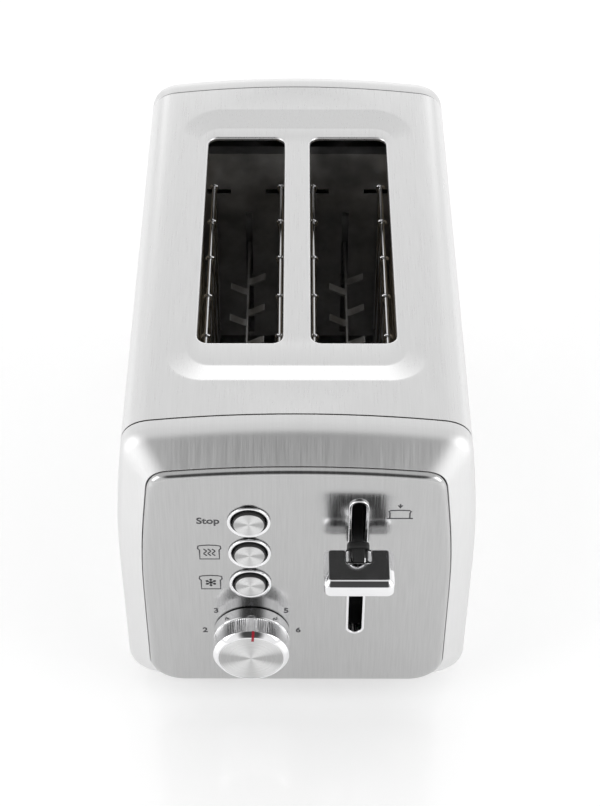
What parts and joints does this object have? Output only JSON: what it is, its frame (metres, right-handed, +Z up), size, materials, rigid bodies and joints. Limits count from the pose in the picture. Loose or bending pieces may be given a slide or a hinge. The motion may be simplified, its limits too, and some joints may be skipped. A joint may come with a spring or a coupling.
{
  "type": "pop up toaster",
  "caption": "Long steel pop-up toaster with bread slots in a pressed recess, self-centring wire guides, a sprung lift lever, a browning knob, push buttons and a pull-out crumb tray.",
  "frame": {"origin": "on the table under the middle of the whole object's box", "axes": "+X to the right seen from the controls, +Y from the controls to the rear, +Z up"},
  "size_m": [0.1648, 0.3292, 0.176],
  "materials": {
    "satin_steel": "satin, finely brushed stainless sheet",
    "brushed_cap": "brushed across",
    "brushed_panel": "brushed upright, semi-gloss",
    "chrome": "mirror polish",
    "spun_aluminium": "spun, with fine turning marks",
    "black_plastic": "fine moulded grain",
    "chamber_steel": "dull aluminised steel",
    "mica": "mica card with flat resistance bands",
    "rubber": "matt",
    "circuit_board": "solder mask",
    "copper_winding": "enamelled wire"
  },
  "bodies": {
    "housing": {"outer_shell": "satin_steel", "front_end_cap": "brushed_cap", "rear_end_cap": "brushed_cap", "control_panel": "brushed_panel", "rear_panel": "brushed_panel", "base_plate": "black_plastic", "foot_front_left": "rubber", "foot_front_right": "rubber", "foot_rear_left": "rubber", "foot_rear_right": "rubber", "base_screw_front_left": "chamber_steel", "base_screw_front_right": "chamber_steel", "base_screw_rear_left": "chamber_steel", "base_screw_rear_right": "chamber_steel", "lever_slot_trim": "chrome", "stop_button_ring": "chrome", "reheat_button_ring": "chrome", "defrost_button_ring": "chrome", "stop_switch": "black_plastic", "reheat_switch": "black_plastic", "defrost_switch": "black_plastic", "potentiometer": "black_plastic", "control_board": "circuit_board", "board_standoff_upper": "black_plastic", "board_standoff_lower": "black_plastic", "front_bulkhead": "chamber_steel", "rear_bulkhead": "chamber_steel", "left_reflector": "chamber_steel", "right_reflector": "chamber_steel", "left_heater": "mica", "centre_heater": "mica", "right_heater": "mica", "guide_rod": "chrome", "rod_bracket": "chamber_steel", "lift_spring": "chamber_steel", "magnet_core": "chamber_steel", "magnet_coil": "copper_winding", "cord_gland": "rubber", "terminal_block": "black_plastic"},
    "lift_carriage": {"carriage_slider": "black_plastic", "lever_stem": "black_plastic", "lever_knob": "chrome", "armature": "chamber_steel", "left_bread_rack": "chamber_steel", "right_bread_rack": "chamber_steel"},
    "guide_left_outer": {"left_outer_guide": "chrome"},
    "guide_left_inner": {"left_inner_guide": "chrome"},
    "guide_right_inner": {"right_inner_guide": "chrome"},
    "guide_right_outer": {"right_outer_guide": "chrome"},
    "knob": {"browning_knob": "spun_aluminium", "knob_shaft": "chamber_steel"},
    "stop": {"stop_button": "spun_aluminium"},
    "reheat": {"reheat_button": "spun_aluminium"},
    "defrost": {"defrost_button": "spun_aluminium"},
    "tray": {"crumb_tray": "chamber_steel", "crumb_tray_handle": "black_plastic"}
  },
  "joints": [
    {"name": "lift", "type": "slide", "parent": "housing", "child": "lift_carriage", "axis": [0, 0, 1], "range_m": [-0.056, 0.022], "stiffness_N_per_m": 110, "springref_m": 0.009, "deforming": ["lift_spring"]},
    {"name": "close_left_outer", "type": "slide", "parent": "housing", "child": "guide_left_outer", "axis": [1, 0, 0], "range_m": [-0.00275, 0.007]},
    {"name": "close_left_inner", "type": "slide", "parent": "housing", "child": "guide_left_inner", "axis": [-1, 0, 0], "range_m": [-0.00275, 0.007]},
    {"name": "close_right_inner", "type": "slide", "parent": "housing", "child": "guide_right_inner", "axis": [1, 0, 0], "range_m": [-0.00275, 0.007]},
    {"name": "close_right_outer", "type": "slide", "parent": "housing", "child": "guide_right_outer", "axis": [-1, 0, 0], "range_m": [-0.00275, 0.007]},
    {"name": "browning", "type": "hinge", "parent": "housing", "child": "knob", "pos_m": [-0.0211, -0.14, 0.05535], "axis": [0, 1, 0], "range_deg": [-135, 135]},
    {"name": "press_stop", "type": "slide", "parent": "housing", "child": "stop", "axis": [0, 1, 0], "range_m": [0, 0.002], "stiffness_N_per_m": 400},
    {"name": "press_reheat", "type": "slide", "parent": "housing", "child": "reheat", "axis": [0, 1, 0], "range_m": [0, 0.002], "stiffness_N_per_m": 400},
    {"name": "press_defrost", "type": "slide", "parent": "housing", "child": "defrost", "axis": [0, 1, 0], "range_m": [0, 0.002], "stiffness_N_per_m": 400},
    {"name": "pull_tray", "type": "slide", "parent": "housing", "child": "tray", "axis": [0, 1, 0], "range_m": [0, 0.2]}
  ],
  "couplings": [
    {"joint": "close_left_outer", "follows": "lift", "ratio": -0.125},
    {"joint": "close_left_inner", "follows": "lift", "ratio": -0.125},
    {"joint": "close_right_inner", "follows": "lift", "ratio": -0.125},
    {"joint": "close_right_outer", "follows": "lift", "ratio": -0.125}
  ]
}
